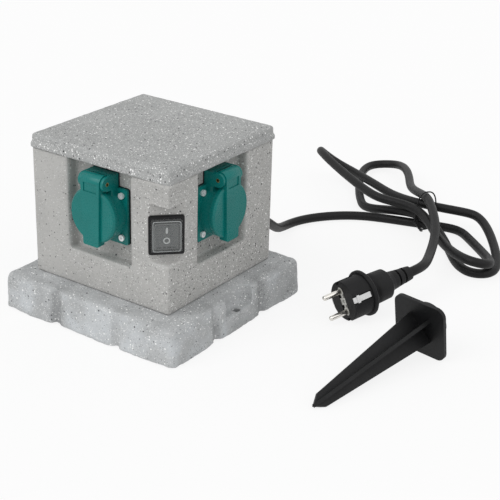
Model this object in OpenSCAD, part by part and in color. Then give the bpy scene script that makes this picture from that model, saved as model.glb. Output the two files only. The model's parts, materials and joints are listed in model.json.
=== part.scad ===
// Garden socket block with a stone look: four hinged-flap sockets round a square
// body, a rocker switch on one corner, a rubber mains lead and a ground spike.
// Millimetres, +Z up, origin in the middle of the underside of the base.

/* [Base slab] */
// Width of the slab at the ground
slab_w = 195; // [185:1:215]
// Height of the slab
slab_h = 34.5; // [32:0.5:42]
// How far each side leans in from the ground to the top
slab_lean = 2; // [0:0.5:4]
// Rounding of the slab's upright corners
slab_corner_r = 8; // [4:0.5:12]
// Rounding of the slab's upper edge
slab_shoulder_r = 6; // [3:0.5:9]
// Wall of the slab shell
slab_wall = 6; // [4:0.5:8]
// Thickness of the slab's top
slab_roof = 5.5; // [4:0.5:8]
// Distance of the grooves between the stones from the middle of a side
groove_x = 34; // [28:1:40]
// Radius of the groove's round bottom
groove_r = 5; // [3.5:0.5:7]
// Depth of the grooves in the sides
groove_depth = 2.4; // [1:0.2:3.4]
// Depth of the grooves in the slab's top
groove_top_depth = 1.2; // [0.6:0.2:2]
// Width of the recess round a peg hole
peg_recess_w = 37; // [28:1:44]
// Depth of that recess, in from the foot of the side
peg_recess_depth = 13; // [10:0.5:16]
// Height of the ledge in the recess
peg_ledge_z = 18; // [12:0.5:24]
// Diameter of the hole for a ground peg
peg_hole_d = 5.5; // [4:0.1:7]

/* [Base plate] */
// Thickness of the plate that closes the underside
plate_t = 3; // [2.5:0.5:4]
// Gap all round the plate
plate_gap = 0.4; // [0.2:0.1:1]
// Wall of the tube that takes the spike's boss
spike_tube_wall = 3; // [2:0.5:5]
// Depth of the spike socket
spike_socket_depth = 13; // [12:0.5:20]

/* [Body] */
// Width of the square body
body_w = 150; // [140:1:160]
// Height of the body from the slab to the roof
body_h = 116.5; // [112:0.5:126]
// Wall of the body shell
body_wall = 3; // [2.5:0.5:4]
// Rounding of the body's upright edges
body_corner_r = 2.5; // [1:0.5:5]
// Height of the dark joint between the slab and the body
joint_gap = 0.7; // [0.3:0.1:1.5]
// How far the joint lies behind the body's face
joint_inset = 0.8; // [0.4:0.1:2]
// Width of the wall left beside a socket niche
pillar_w = 41; // [39.5:0.5:45]
// Height of a niche's floor above the slab
niche_floor_h = 33.5; // [26:0.5:36]
// Rounding where the niche meets the wall
niche_edge_r = 3; // [1:0.5:5]

/* [Roof] */
// Overhang of the roof's lip past the body
lip_over = 1.7; // [0.5:0.1:3]
// Height of the lip
lip_h = 4.5; // [2:0.5:7]
// How far the roof above the lip stands behind the lip's edge
lip_step = 1.3; // [0.5:0.1:2]
// Height of the roof from the body to the top
roof_h = 13; // [11:0.5:18]
// Rounding of the roof's upper edge
roof_edge_r = 3; // [1.5:0.5:4.5]
// Thickness of the roof over its hollow
roof_t = 4; // [2.5:0.5:5]

/* [Sockets] */
// Distance of the flange's middle below the roof
socket_drop = 43; // [40:0.5:45]
// Width and height of the flange
flange_w = 50; // [48:0.5:54]
// Thickness of the flange
flange_t = 2.5; // [2:0.1:3.5]
// How far the flange's face lies behind the wall
flange_recess = 8; // [6:0.5:10]
// Thickness of the gasket under the flange
gasket_t = 1; // [0.6:0.1:1.6]
// How far the gasket shows past the flange
gasket_over = 0.5; // [0.2:0.1:1]
// Spacing of the four flange screws
screw_pitch = 38; // [37:0.5:41]
// Diameter of the flange screws' shanks
screw_d = 3; // [2.5:0.1:3.5]
// Length of the flange screws' shanks
screw_len = 8; // [7:0.5:12]
// Diameter of the flange screws' heads
screw_head_d = 5.6; // [5:0.1:6.2]
// Outer diameter of the socket's collar
collar_d = 47; // [45:0.5:47.5]
// How far the collar stands out from the flange
collar_h = 10.5; // [9:0.1:10.7]
// Diameter of the socket's well
well_d = 39.6; // [39:0.1:42]
// Depth of the well from the collar's rim
well_depth = 17.5; // [16:0.1:19]
// Diameter of the round back of the socket
back_d = 43.5; // [43:0.1:44.5]
// Length of the socket's back behind the flange
back_len = 27; // [25:0.5:30]
// Diameter of the contact holes in the well's floor
contact_hole_d = 5.2; // [5:0.1:6]
// Outer diameter of a contact tube
contact_d = 7.2; // [6.6:0.1:7.6]
// Length of a contact tube
contact_len = 13; // [10:0.5:16]
// Width of the earth clip's strap
clip_w = 5; // [4:0.1:6]
// Thickness of the earth clip's strap
clip_t = 0.8; // [0.5:0.1:1]

/* [Flaps] */
// Diameter of the flap's disc
flap_d = 49; // [47.5:0.5:50]
// Thickness of the disc
flap_t = 5.5; // [4.5:0.1:6.5]
// Chamfer round the disc's face
flap_chamfer = 1.6; // [0.6:0.2:2.4]
// Gap between the closed disc and the collar
flap_gap = 0.4; // [0.3:0.1:0.8]
// Width of the raised band at the hinge
band_w = 20.5; // [18:0.5:22]
// Width of the raised band at the thumb tab
band_low_w = 17; // [14:0.5:20]
// How far the band stands proud of the disc
band_proud = 2.2; // [1.4:0.1:2.4]
// How far the thumb tab reaches below the disc
tab_len = 2; // [1:0.5:4]
// Diameter of the hinge pin, a brass tube
pin_d = 3.6; // [3:0.1:4]
// Wall of the hinge pin
pin_wall = 0.7; // [0.4:0.1:1]
// Running clearance of the flap on the pin, radial
pin_clear = 0.06; // [0.03:0.01:0.1]
// Height of the pin above the flange's middle
pin_h = 30.9; // [30.7:0.1:32]
// Width of the hinge block over its ears
hinge_w = 27; // [25.5:0.5:29]
// Gap between the flap's knuckle and an ear
ear_gap = 0.35; // [0.2:0.05:0.6]
// Radius of the ears round the pin
ear_r = 6.2; // [5.2:0.1:6.4]
// Wire of the return spring
spring_wire = 0.8; // [0.5:0.1:1]
// Number of turns of the return spring
spring_turns = 5; // [3:1:7]

/* [Switch] */
// Height of the switch's middle above the slab
switch_h = 68.6; // [66:0.1:71]
// Depth of the corner pocket, in from the body's sharp corner
pocket_cut = 15.6; // [15.1:0.1:18]
// Height of the pocket
pocket_h = 51; // [46:0.5:55]
// Width of the switch's frame
bezel_w = 30; // [28.5:0.5:31]
// Height of the switch's frame
bezel_h = 35; // [33:0.5:37]
// Thickness of the switch's frame
bezel_t = 2.2; // [1.6:0.1:3]
// Width of the opening for the rocker
rocker_gap_w = 20.2; // [20:0.1:21]
// Height of the opening for the rocker
rocker_gap_h = 25.2; // [25:0.1:26]
// Width of the rocker
rocker_w = 19.6; // [18:0.1:19.8]
// Height of the rocker
rocker_h = 22.6; // [21:0.1:23]
// How far the rocker tips to each side of level, in degrees
rocker_tilt = 8; // [5:0.5:9]
// Diameter of the rocker's trunnions
trunnion_d = 3; // [2:0.1:3.4]
// Depth of the switch's box behind the frame
switch_box_d = 20; // [18:0.5:24]
// How far the clear boot stands out from the frame
boot_h = 5.4; // [5.2:0.1:7]
// Wall of the clear boot
boot_wall = 0.8; // [0.5:0.1:1]

/* [Cable entry] */
// Distance of the cable entry from the middle of the rear wall
entry_x = 30; // [28:1:32]
// Height of the cable entry above the slab
entry_h = 15.5; // [15:0.5:16]
// Diameter of the gland's thread
gland_d = 20; // [18:0.5:22]
// Width across the flats of the gland's hexagons
gland_af = 24; // [22:0.5:26]
// Length of the gland outside the wall
gland_len = 25; // [22:0.5:25]

/* [Cord] */
// Diameter of the rubber cord
cord_d = 9.2; // [8:0.1:9.4]

/* [Plug] */
// Diameter of the plug where it enters a socket
plug_d = 37.4; // [36.5:0.1:38]
// Diameter of the guard disc
guard_d = 43; // [42:0.5:46]
// Length of the plug from its face to the cord
plug_len = 76; // [74:0.5:84]
// Diameter of the plug's pins
plug_pin_d = 4.8; // [4.6:0.1:5]
// Length of the plug's pins
plug_pin_len = 19; // [17:0.5:20]
// Distance between the plug's pins, and between a socket's contacts
pin_pitch = 19; // [18.5:0.1:19.5]

/* [Ground spike] */
// Length of the blade from the plate to the tip
spike_len = 134.7; // [120:0.1:160]
// Width of the blade over its wings, at the plate
spike_w = 31; // [26:0.5:38]
// Width of the blade where its point begins
spike_tip_w = 13; // [10:0.5:16]
// Length of the blade's point
spike_tip_len = 10; // [6:0.5:16]
// Width of the square plate
spike_plate_w = 51.5; // [48:0.5:56]
// Thickness of the square plate
spike_plate_t = 3.5; // [3:0.5:5]
// Rounding of the plate's corners
spike_plate_r = 8; // [4:0.5:12]
// Thickness of the blade's wings
spike_web_t = 3; // [2:0.5:5]
// Diameter of the boss behind the plate
spike_boss_d = 34; // [30:0.5:38]
// Length of the boss
spike_boss_len = 12; // [10:0.5:12]
// Clearance of the boss in the base, radial
spike_clear = 0.2; // [0.1:0.05:0.5]

/* [Fasteners] */
// Diameter of the four long screws that hold base, body and roof together
tie_screw_d = 4; // [3:0.1:5]
// Diameter of their heads
tie_head_d = 8; // [7:0.1:9]
// Height of their heads
tie_head_h = 3; // [2:0.1:4]
// How far they reach into the roof
tie_screw_bite = 7; // [5:0.5:8]
// Outer diameter of the columns they pass through
column_d = 10; // [9:0.5:12]
// Clearance of a screw in its hole, radial
screw_clear = 0.1; // [0.05:0.05:0.3]
// Diameter of the base plate's screws
plate_screw_d = 3; // [2.5:0.1:3.5]
// Diameter of the base plate's screw heads
plate_head_d = 6; // [5:0.1:6.5]
// Depth of the base plate's screws in the slab
plate_screw_len = 12; // [8:0.5:16]

/* [Hidden] */
$fn = 48;
eps = 0.01;
bite = 0.5;

// Levels, from the ground up
body_z = slab_h + joint_gap;
body_top = slab_h + body_h;
niche_z = slab_h + niche_floor_h;
socket_z = body_top - socket_drop;
switch_z = slab_h + switch_h;
entry_z = slab_h + entry_h;
lip_top = body_top + lip_h;
roof_top = body_top + roof_h;

// Widths at the slab's top and inside the shells
slab_top_w = slab_w - 2 * slab_lean;
cavity_w = slab_w - 2 * (slab_lean + slab_wall);
cavity_top = slab_h - slab_roof;
body_in_w = body_w - 2 * body_wall;
lip_w = body_w + 2 * lip_over;
roof_w = lip_w - 2 * lip_step;
niche_w = body_w - 2 * pillar_w;
pocket_dist = body_w / sqrt(2) - pocket_cut;

// Posts in the slab's corners that take the plate's screws
post_inset = 9;
post_d = 9;
post_xy = cavity_w / 2 - post_inset;
plate_head_deep = 1.8;

// Depth of a niche: the flange and its gasket fill it up to the flange's face
niche_depth = flange_recess + flange_t + gasket_t;
niche_back = body_w / 2 - niche_depth;
roof_hollow_w = 2 * (niche_back - body_wall);

// Screw columns stand beside the niches, clear of the corner pocket
column_x = body_in_w / 2 - column_d / 2 + bite;
column_y = niche_w / 2 + body_wall + column_d / 2 - bite;

// Socket, flap and hinge, measured outward from the flange's face
flap_back = collar_h + flap_gap;
flap_front = flap_back + flap_t;
band_front = flap_front + band_proud;
pin_out = flap_back + 0.7;
knuckle_r = band_front - pin_out;
hinge_top = pin_h + ear_r;
web_out = 6.7;
floor_out = collar_h - well_depth;
floor_t = 2;
back_out = -flange_t - back_len;
pocket_d = contact_d + 0.4;
clip_slot = clip_t + 0.4;
spring_r = pin_d / 2 + spring_wire / 2 + 0.3;
spring_pitch = spring_wire + 0.35;
spring_room_r = spring_r + spring_wire / 2 + 0.35;
spring_room_w = spring_turns * spring_pitch + spring_wire + 1;

// Switch, measured outward from the pocket's face
bezel_step = 0.8;
switch_box_w = rocker_gap_w + 3.8;
switch_box_h = rocker_gap_h + 5.2;
pivot_out = -3;
pocket_up = 2.5;

// Cable gland, measured along +Y from the wall's outer face
gland_hex_h = 5;
gland_bore = cord_d + 0.4;
locknut_h = 4;

// Points of the cord's free stretches, chosen by hand
lead_points = [
    [30, 46, 50], [30, 62, 50], [30, 82, 50], [30, 100, 50], [30, 111, 49.5], [29.5, 126, 45.5],
    [26.5, 143, 36], [21, 160, 25], [14.5, 178, 14.5], [8.5, 196, 8], [5.5, 213, 5],
    [9, 233, 4.6], [24, 258, 4.6], [50, 282, 4.6], [84, 293.5, 4.6]
];
tail_points = [
    [133, 282, 37], [148, 262, 35], [161, 240, 31.5], [170, 220, 28.5], [176.5, 202, 27],
    [182.5, 185, 27.2], [187.6, 170.5, 28.6], [190, 158.5, 29.8], [189.2, 148.3, 29.8],
    [186, 140, 28.6], [182.8, 131.7, 27.4]
];
cord_end = [186, 140, 28.6];

// The hank: two turns drawn in at the tie, so four lobes. Each lobe is an oval in
// real sizes: middle, half length, half width, heading of its long axis, angles
// where the strand joins and leaves it, and the strand's heights at the root, the
// fold and the root again. The last value raises the side towards the house.
tie_xy = [119, 300];
tie_across = [0.559, 0.829];
lobe_n = 12;
oval_power = 2.6;
lobes = [
    [[170, 269], 75, 21, -45, 122, -92, 4.8, 21, 19, -6],
    [[23, 330], 82, 18, 152, 136, -115, 26, 28, 17, 14.5],
    [[184, 277], 61, 23, -55, 169, -97, 19, 4.6, 4.6, 0],
    [[35, 362], 77, 28, 121, 138, -112, 4.6, 7.5, 21, 0]
];
// Where each pass through the tie lies: across the bundle, and above the ground
tie_slots = [[0, 6], [-5, 26], [5, 26], [-1, 22.8], [0, 39]];

function bow(v) = sign(v) * pow(abs(v), 2 / oval_power);
function lobe_point(s, t) =
    let (g = s[4] + (s[5] - s[4]) * t, x = s[1] * bow(cos(g)), y = s[2] * bow(sin(g)))
    let (f = (1 - cos(360 * t)) / 2, z = (t < 0.5 ? s[6] : s[8]) * (1 - f) + s[7] * f + s[9] * f * y / s[2])
    [s[0].x + x * cos(s[3]) - y * sin(s[3]), s[0].y + x * sin(s[3]) + y * cos(s[3]), z];
function lobe(s) = [for (i = [0:lobe_n - 1]) lobe_point(s, i / (lobe_n - 1))];
function tie_point(s) = [tie_xy.x + tie_across.x * s[0], tie_xy.y + tie_across.y * s[0], s[1]];

// Smooth curve near the points q, with so many steps from each to the next
function curve_at(q, i, t) =
    (pow(1 - t, 3) * q[i - 1] + (3 * pow(t, 3) - 6 * t * t + 4) * q[i]
        + (-3 * pow(t, 3) + 3 * t * t + 3 * t + 1) * q[i + 1] + pow(t, 3) * q[i + 2]) / 6;
function curve(q, first, last, steps) = [
    for (i = [first:last - 1]) for (j = [0:steps - 1]) curve_at(q, i, j / steps),
    curve_at(q, last - 1, 1)
];

route = concat(
    lead_points, [tie_point(tie_slots[0])], lobe(lobes[0]), [tie_point(tie_slots[1])], lobe(lobes[1]),
    [tie_point(tie_slots[2])], lobe(lobes[2]), [tie_point(tie_slots[3])], lobe(lobes[3]),
    [tie_point(tie_slots[4])], tail_points
);
lead_last = len(lead_points);
hank_last = lead_last + 4 * (lobe_n + 1);
lead_line = curve(route, 1, lead_last, 2);
hank_line = curve(route, lead_last, hank_last, 2);
tail_line = curve(route, hank_last, len(route) - 2, 2);

// Least gap of the hank to itself, measured on its points against its segments
function to_segment(p, a, b) =
    let (v = b - a, t = max(0, min(1, (p - a) * v / (v * v)))) norm(p - a - t * v);
function apart(i, j) = abs(i - j) > 4;
hank_gap = min([
    for (i = [0:len(hank_line) - 1]) for (j = [0:len(hank_line) - 2])
        if (apart(i, j) && apart(i, j + 1)) to_segment(hank_line[i], hank_line[j], hank_line[j + 1])
]) - cord_d;
function line_length(q, i = 0) = i > len(q) - 2 ? 0 : norm(q[i + 1] - q[i]) + line_length(q, i + 1);
echo(hank_gap = hank_gap);
echo(cord_length = line_length(lead_line) + line_length(hank_line) + line_length(tail_line));

// The tie: a wire once round the bundle, its two ends twisted together
tie_wire = 1.5;
tie_half_w = 11.2;
tie_half_h = 21;
tie_mid_z = 21.9;
twist_turns = 2.5;
twist_len = 15;
twist_start = [-12.6, 11];

// Plug and spike lie on the ground beside the block
plug_yaw = 68.7;
plug_pitch = 8;
plug_roll = -26;
spike_yaw = 80.54;
spike_xy = [242.6, 54.5];
spike_tilt = atan((spike_plate_w - spike_tip_w * sin(45)) / 2 / (spike_len - spike_tip_len));

// Square with round corners, centred
module round_rect(w, d, r) {
    square([w - 2 * r, d], center = true);
    square([w, d - 2 * r], center = true);
    for (sx = [-1, 1], sy = [-1, 1])
        translate([sx * (w / 2 - r), sy * (d / 2 - r)]) circle(r);
}

// Repeats a piece on the four sides of the body
module four_sides() {
    for (k = [0:3]) rotate([0, 0, 90 * k]) children();
}

// Repeats a piece at the four corners of a square
module four_corners(x, y) {
    for (sx = [-1, 1], sy = [-1, 1]) translate([sx * x, sy * y, 0]) children();
}

// Cylinder along Y, from so far out to so far out, with out towards -Y
module rod_out(d, from, to, x = 0, z = 0) {
    translate([x, -from, z]) rotate([90, 0, 0]) cylinder(d = d, h = to - from);
}

// Plate that stands in the wall, from so far out to so far out
module plate_out(from, to) {
    translate([0, -from, 0]) rotate([90, 0, 0]) linear_extrude(to - from) children();
}

// Round bar along X at a place in the wall's frame
module bar_across(d, w, out, z) {
    translate([-w / 2, -out, z]) rotate([0, 90, 0]) cylinder(d = d, h = w);
}

// Places a piece on the wall of side k, with +Y into the body
module on_side(k) {
    rotate([0, 0, 90 * k]) translate([0, flange_recess - body_w / 2, socket_z]) children();
}

// Places a piece on the corner pocket's face
module on_corner() {
    rotate([0, 0, 45]) translate([0, -pocket_dist, switch_z]) children();
}

// One unbroken tube along a line, its rings turned by a fixed direction
module tube(line, d, sides, ref) {
    n = len(line);
    function unit(v) = v / norm(v);
    function along(i) = unit(line[min(n - 1, i + 1)] - line[max(0, i - 1)]);
    points = [for (i = [0:n - 1])
        let (t = along(i), u = unit(cross(ref, t)), v = cross(t, u))
        for (k = [0:sides - 1])
            line[i] + d / 2 * (u * cos(360 * k / sides) + v * sin(360 * k / sides))
    ];
    last = (n - 1) * sides;
    faces = concat(
        [for (k = [1:sides - 2]) [0, k, k + 1]],
        [for (k = [1:sides - 2]) [last, last + k + 1, last + k]],
        [for (i = [0:n - 2]) for (k = [0:sides - 1])
            let (a = i * sides + k, b = i * sides + (k + 1) % sides) each [[a, a + sides, b], [b, a + sides, b + sides]]]
    );
    polyhedron(points, faces, convexity = 8);
}

// The slab's stone-like outer form
module slab_form() {
    foot = slab_w / 2 - slab_corner_r;
    top = slab_top_w / 2 - slab_shoulder_r;
    hull() {
        four_corners(foot, foot) cylinder(r = slab_corner_r, h = 1, $fn = 32);
        translate([0, 0, slab_h - slab_shoulder_r]) four_corners(top, top) sphere(r = slab_shoulder_r, $fn = 32);
    }
}

// One groove between two stones: down the side and across the top
module stone_groove(x) {
    side_y = slab_w / 2 + groove_r - groove_depth;
    top_z = slab_h + groove_r - groove_top_depth;
    lean = atan(slab_lean / slab_h);
    translate([x, -side_y, -1]) rotate([-lean, 0, 0]) cylinder(r = groove_r, h = slab_h + groove_r);
    translate([x, -body_w / 2 + joint_inset, top_z]) rotate([90, 0, 0]) cylinder(r = groove_r, h = slab_w / 2);
}

module base_slab() {
    peg_x = slab_w / 2 - peg_recess_depth;
    color([0.67, 0.68, 0.68]) difference() {
        union() {
            difference() {
                slab_form();
                difference() {
                    translate([0, 0, -1]) linear_extrude(cavity_top + 1) round_rect(cavity_w, cavity_w, slab_corner_r);
                    for (s = [-1, 1])
                        translate([s * slab_w / 2, 0, slab_h / 2])
                            cube([2 * (peg_recess_depth + slab_wall), peg_recess_w + 2 * slab_wall, slab_h + 4], center = true);
                    translate([0, 0, plate_t]) four_corners(post_xy, post_xy) cylinder(d = post_d, h = slab_h);
                }
                four_sides() for (s = [-1, 1]) stone_groove(s * groove_x);
            }
            translate([0, 0, slab_h - 1])
                linear_extrude(1 + joint_gap) round_rect(body_w - 2 * joint_inset, body_w - 2 * joint_inset, body_corner_r);
        }
        // Recesses with a ledge and a peg hole on two opposite sides
        for (s = [-1, 1]) {
            translate([s * (peg_x + 20), 0, peg_ledge_z]) linear_extrude(slab_h) round_rect(40, peg_recess_w, 6);
            translate([s * (peg_x + peg_recess_depth / 2), 0, -1]) cylinder(d = peg_hole_d, h = slab_h);
        }
        // Holes for the long screws
        four_sides() translate([column_x, column_y, 0]) cylinder(d = tie_screw_d + 2 * screw_clear, h = slab_h + 2);
        // Pilot holes for the base plate's screws
        four_corners(post_xy, post_xy) cylinder(d = plate_screw_d + 2 * screw_clear, h = plate_screw_len + 1);
    }
}

module base_plate() {
    w = cavity_w - 2 * plate_gap;
    tube_d = spike_boss_d + 2 * spike_clear + 2 * spike_tube_wall;
    color([0.2, 0.2, 0.21]) difference() {
        union() {
            linear_extrude(plate_t) difference() {
                round_rect(w, w, slab_corner_r - plate_gap);
                for (s = [-1, 1])
                    translate([s * slab_w / 2, 0])
                        square([2 * (peg_recess_depth + slab_wall + plate_gap), peg_recess_w + 2 * (slab_wall + plate_gap)], center = true);
            }
            cylinder(d = tube_d, h = spike_socket_depth + spike_tube_wall);
        }
        translate([0, 0, -1]) cylinder(d = spike_boss_d + 2 * spike_clear, h = spike_socket_depth + 1);
        four_corners(post_xy, post_xy) {
            translate([0, 0, -1]) cylinder(d = plate_screw_d + 2 * screw_clear, h = plate_t + 2);
            translate([0, 0, -1]) cylinder(d = plate_head_d + 0.4, h = plate_head_deep + 1);
        }
    }
}

module plate_screws() {
    color("silver") four_corners(post_xy, post_xy) difference() {
        union() {
            translate([0, 0, 0.2]) cylinder(d = plate_head_d, h = plate_head_deep - 0.2);
            translate([0, 0, plate_head_deep]) cylinder(d = plate_screw_d, h = plate_screw_len - plate_head_deep);
        }
        cross_recess(0.2);
    }
}

// Crossed slots in a screw's head, its face at this height and looking down
module cross_recess(z) {
    for (turn = [0, 90]) rotate([0, 0, turn]) translate([0, 0, z]) cube([3, 0.7, 2], center = true);
}

// Block that closes one niche from behind, and the niche cut into it
module niche_block() {
    w = niche_w + 2 * body_wall;
    d = niche_depth + body_wall;
    translate([-w / 2, -body_w / 2, niche_z - body_wall]) cube([w, d, body_top - niche_z + body_wall]);
}

module niche_cut() {
    h = body_top - niche_z + 1;
    translate([0, 0, niche_z]) linear_extrude(h) {
        translate([-niche_w / 2, -body_w / 2 - 1]) square([niche_w, niche_depth + 1]);
        difference() {
            translate([-niche_w / 2 - niche_edge_r, -body_w / 2 - 1]) square([niche_w + 2 * niche_edge_r, niche_edge_r + 1]);
            for (s = [-1, 1]) translate([s * (niche_w / 2 + niche_edge_r), -body_w / 2 + niche_edge_r]) circle(niche_edge_r);
        }
    }
}

// Everything beyond a plane across the switch's corner
module corner_beyond(dist, low, high) {
    rotate([0, 0, 45]) translate([-30, -dist - 30, low]) cube([60, 30, high - low]);
}

module body_shell() {
    pocket_low = switch_z - pocket_h / 2 + pocket_up;
    pocket_high = pocket_low + pocket_h;
    shell_back = -flange_t - gasket_t - body_wall;
    color([0.66, 0.65, 0.63]) difference() {
        translate([0, 0, body_z]) linear_extrude(body_top - body_z) round_rect(body_w, body_w, body_corner_r);
        difference() {
            translate([0, 0, body_z - 1]) linear_extrude(body_h + 2) round_rect(body_in_w, body_in_w, 1);
            four_sides() niche_block();
            corner_beyond(pocket_dist - body_wall, pocket_low - body_wall, pocket_high + body_wall);
            four_sides() translate([column_x, column_y, body_z - 1]) cylinder(d = column_d, h = body_h + 2);
        }
        four_sides() niche_cut();
        corner_beyond(pocket_dist, pocket_low, pocket_high);
        four_sides() translate([column_x, column_y, body_z - 1])
            cylinder(d = tie_screw_d + 2 * screw_clear, h = body_h + 2);
        // Holes behind each socket
        for (k = [0:3]) on_side(k) {
            rod_out(back_d + 1, shell_back - 1, 0);
            for (sx = [-1, 1], sz = [-1, 1])
                rod_out(screw_d + 2 * screw_clear, shell_back - 1, 0, sx * screw_pitch / 2, sz * screw_pitch / 2);
        }
        // Hole for the switch's box
        on_corner() plate_out(-body_wall - 1, 1) square([switch_box_w + 0.4, switch_box_h + 0.4], center = true);
        // Hole for the cable gland
        translate([entry_x, body_w / 2 - body_wall - 1, entry_z])
            rotate([-90, 0, 0]) cylinder(d = gland_d + 0.4, h = body_wall + 2);
    }
}

module roof_cap() {
    corner_r = 4;
    color([0.64, 0.65, 0.64]) difference() {
        union() {
            translate([0, 0, body_top]) linear_extrude(lip_h) round_rect(lip_w, lip_w, corner_r);
            hull() {
                translate([0, 0, lip_top - 1])
                    four_corners(roof_w / 2 - corner_r, roof_w / 2 - corner_r) cylinder(r = corner_r, h = 1, $fn = 32);
                translate([0, 0, roof_top - roof_edge_r])
                    four_corners(roof_w / 2 - roof_edge_r, roof_w / 2 - roof_edge_r) sphere(r = roof_edge_r, $fn = 32);
            }
        }
        translate([0, 0, body_top - 1]) linear_extrude(roof_h - roof_t + 1) round_rect(roof_hollow_w, roof_hollow_w, 2);
        four_sides() translate([column_x, column_y, body_top - 1])
            cylinder(d = tie_screw_d + 2 * screw_clear, h = tie_screw_bite + 2);
    }
}

module tie_screws() {
    color("silver") four_sides() translate([column_x, column_y, cavity_top]) difference() {
        union() {
            translate([0, 0, -tie_head_h]) cylinder(d = tie_head_d, h = tie_head_h);
            cylinder(d = tie_screw_d, h = body_top + tie_screw_bite - cavity_top);
        }
        cross_recess(-tie_head_h);
    }
}

// The gasket lies behind the flange and the hinge block
module gasket() {
    w = flange_w + 2 * gasket_over;
    color([0.1, 0.1, 0.1]) difference() {
        plate_out(-flange_t - gasket_t, -flange_t) {
            round_rect(w, w, 2.5);
            translate([-hinge_w / 2 - gasket_over, 0]) square([hinge_w + 2 * gasket_over, hinge_top + gasket_over]);
        }
        rod_out(back_d + 1, -flange_t - gasket_t - 1, 0);
        for (sx = [-1, 1], sz = [-1, 1])
            rod_out(screw_d + 2 * screw_clear, -flange_t - gasket_t - 1, 0, sx * screw_pitch / 2, sz * screw_pitch / 2);
    }
}

// The hinge block: a web on the flange with an ear at each end
module hinge_block() {
    ear_in = band_w / 2 + ear_gap;
    low = 18;
    difference() {
        union() {
            plate_out(-flange_t, web_out) translate([-hinge_w / 2, low]) square([hinge_w, hinge_top - low]);
            plate_out(0, pin_out) translate([-hinge_w / 2, pin_h - ear_r]) square([hinge_w, 2 * ear_r]);
            bar_across(2 * ear_r, hinge_w, pin_out, pin_h);
        }
        // Room for the knuckle to turn, open to the front
        bar_across(2 * (knuckle_r + 0.4), 2 * ear_in, pin_out, pin_h);
        translate([-ear_in, -pin_out - 20, low]) cube([2 * ear_in, 20, 40]);
        bar_across(pin_d + 0.04, hinge_w + 2, pin_out, pin_h);
    }
}

module housing() {
    color([0.16, 0.42, 0.38]) difference() {
        union() {
            plate_out(-flange_t, 0) round_rect(flange_w, flange_w, 2);
            difference() {
                hinge_block();
                // The block keeps clear of the flap's disc
                rod_out(flap_d + 1.6, flap_back - 1, 30, 0, 1);
            }
            rod_out(collar_d, -flange_t, collar_h);
            rod_out(back_d, back_out, 0);
        }
        rod_out(well_d, floor_out, collar_h + 1);
        for (s = [-1, 1]) {
            rod_out(contact_hole_d, floor_out - floor_t - 1, floor_out + 1, s * pin_pitch / 2);
            rod_out(pocket_d, back_out - 1, floor_out - floor_t, s * pin_pitch / 2);
        }
        // Slots in the wall and a groove in the floor for the earth clip
        plate_out(floor_out - clip_t, 5.4)
            square([clip_w + 0.6, well_d + 2 * clip_slot], center = true);
        for (sx = [-1, 1], sz = [-1, 1])
            rod_out(screw_d + 2 * screw_clear, -flange_t - 1, 1, sx * screw_pitch / 2, sz * screw_pitch / 2);
    }
}

module flap() {
    low = 1 - flap_d / 2 - tab_len;
    disc_z = 1;
    tab_r = 2;
    color([0.17, 0.45, 0.41]) difference() {
        union() {
            // Disc with a chamfered face
            translate([0, -flap_back, disc_z]) rotate([90, 0, 0]) {
                cylinder(d = flap_d, h = flap_t - flap_chamfer);
                translate([0, 0, flap_t - flap_chamfer])
                    cylinder(d1 = flap_d, d2 = flap_d - 2 * flap_chamfer, h = flap_chamfer);
            }
            // Band from the hinge down to the thumb tab
            plate_out(flap_back, band_front) {
                polygon([
                    [-band_w / 2, pin_h], [-band_low_w / 2, low + tab_r], [-band_low_w / 2 + tab_r, low],
                    [band_low_w / 2 - tab_r, low], [band_low_w / 2, low + tab_r], [band_w / 2, pin_h]
                ]);
                for (s = [-1, 1]) translate([s * (band_low_w / 2 - tab_r), low + tab_r]) circle(tab_r);
            }
            bar_across(2 * knuckle_r, band_w, pin_out, pin_h);
        }
        // Flat recess on the knuckle's lower front
        plate_out(band_front - 0.8, band_front + 1) translate([0, pin_h - 4]) square([14, 8], center = true);
        // Bore, with room for the return spring in the middle
        bar_across(pin_d + 2 * pin_clear, band_w + 2, pin_out, pin_h);
        bar_across(2 * spring_room_r, spring_room_w, pin_out, pin_h);
        // Groove in the back for the sealing ring
        difference() {
            rod_out(46, flap_back - 1, flap_back + 1.2);
            rod_out(40, flap_back - 2, flap_back + 2);
        }
    }
}

module hinge_pin() {
    color([0.8, 0.65, 0.3]) difference() {
        bar_across(pin_d, hinge_w, pin_out, pin_h);
        bar_across(pin_d - 2 * pin_wall, hinge_w + 2, pin_out, pin_h);
    }
}

// Return spring on the pin: one unbroken tube of so many turns
module spring() {
    n = 10 * spring_turns;
    half = spring_turns * spring_pitch / 2;
    line = [for (i = [0:n]) let (a = 360 * i * spring_turns / n)
        [2 * half * i / n - half, -pin_out + spring_r * cos(a), pin_h + spring_r * sin(a)]];
    color("silver") tube(line, spring_wire, 6, [1, 0, 0]);
}

module contacts() {
    tab_w = 6.3;
    front = floor_out - floor_t;
    color([0.82, 0.72, 0.4]) for (s = [-1, 1]) {
        difference() {
            rod_out(contact_d, front - contact_len, front, s * pin_pitch / 2);
            rod_out(plug_pin_d + 0.1, front - contact_len + 1, front + 1, s * pin_pitch / 2);
        }
        plate_out(back_out - 3.5, front - contact_len) translate([s * pin_pitch / 2, 0]) square([tab_w, 0.8], center = true);
    }
}

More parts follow.
